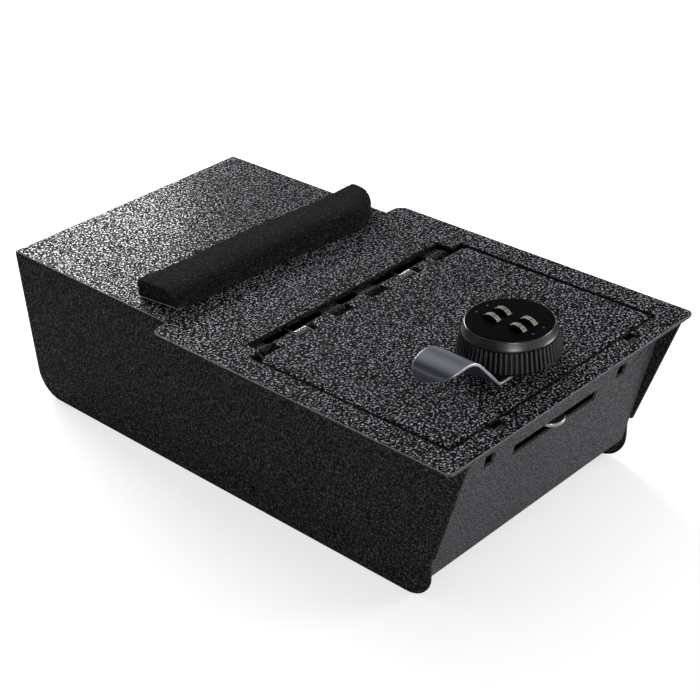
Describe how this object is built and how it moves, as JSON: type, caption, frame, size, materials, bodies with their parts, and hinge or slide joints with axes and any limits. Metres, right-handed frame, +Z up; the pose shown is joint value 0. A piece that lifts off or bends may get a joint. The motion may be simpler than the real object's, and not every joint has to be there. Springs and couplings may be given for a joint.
{
  "type": "vehicle console safe",
  "caption": "Low steel safe for a vehicle's centre console, with a flush hinged door in a wide faceplate, a pull handle and a combination knob that turns a cam latch.",
  "frame": {"origin": "middle of the footprint, at the feet of the side panels", "axes": "+Z up, -Y to the front rim with the lock, +X to the right seen from the front"},
  "size_m": [0.2, 0.345, 0.1237],
  "materials": {
    "black_powder": "textured black powder coat, satin",
    "spring_steel": "bright drawn wire",
    "zinc_steel": "zinc plated",
    "chrome_strip": "polished",
    "black_foam": "open-cell foam, matt",
    "liner_film": "release film, matt",
    "black_nylon": "satin moulded",
    "cream_wheel": "satin"
  },
  "bodies": {
    "case": {"top_plate": "black_powder", "left_panel": "black_powder", "right_panel": "black_powder", "front_wall": "black_powder", "floor_plate": "black_powder", "back_wall": "black_powder", "left_ledge": "black_powder", "right_ledge": "black_powder", "case_knuckles": "black_powder", "hinge_rod": "zinc_steel", "rod_clips": "zinc_steel", "left_spring": "spring_steel", "right_spring": "spring_steel", "foam_liner": "liner_film", "foam_strip": "black_foam"},
    "door": {"door_panel": "black_powder", "door_knuckles": "black_powder", "door_doubler": "black_powder", "pull_handle": "chrome_strip", "lock_body": "black_nylon", "lock_washer": "zinc_steel", "lock_nut": "zinc_steel"},
    "knob": {"knob_grip": "black_nylon", "knob_core": "black_nylon", "knob_cap": "black_nylon", "rear_axle": "zinc_steel", "front_axle": "zinc_steel", "spindle": "zinc_steel", "latch": "chrome_strip", "latch_screw": "zinc_steel"},
    "wheel_1": {"wheel_rear_left": "cream_wheel"},
    "wheel_2": {"wheel_rear_right": "cream_wheel"},
    "wheel_3": {"wheel_front_left": "cream_wheel"},
    "wheel_4": {"wheel_front_right": "cream_wheel"}
  },
  "joints": [
    {"name": "door_hinge", "type": "hinge", "parent": "case", "child": "door", "pos_m": [0, -0.021, 0.0914], "axis": [-1, 0, 0], "range_deg": [0, 90]},
    {"name": "knob_turn", "type": "hinge", "parent": "door", "child": "knob", "pos_m": [0, -0.127, 0.099], "axis": [0, 0, -1], "range_deg": [0, 90]},
    {"name": "wheel_1_turn", "type": "hinge", "parent": "knob", "child": "wheel_1", "pos_m": [-0.0043, -0.1187, 0.1172], "axis": [1, 0, 0], "continuous": true},
    {"name": "wheel_2_turn", "type": "hinge", "parent": "knob", "child": "wheel_2", "pos_m": [0.0043, -0.1187, 0.1172], "axis": [1, 0, 0], "continuous": true},
    {"name": "wheel_3_turn", "type": "hinge", "parent": "knob", "child": "wheel_3", "pos_m": [-0.0043, -0.1353, 0.1172], "axis": [1, 0, 0], "continuous": true},
    {"name": "wheel_4_turn", "type": "hinge", "parent": "knob", "child": "wheel_4", "pos_m": [0.0043, -0.1353, 0.1172], "axis": [1, 0, 0], "continuous": true}
  ]
}
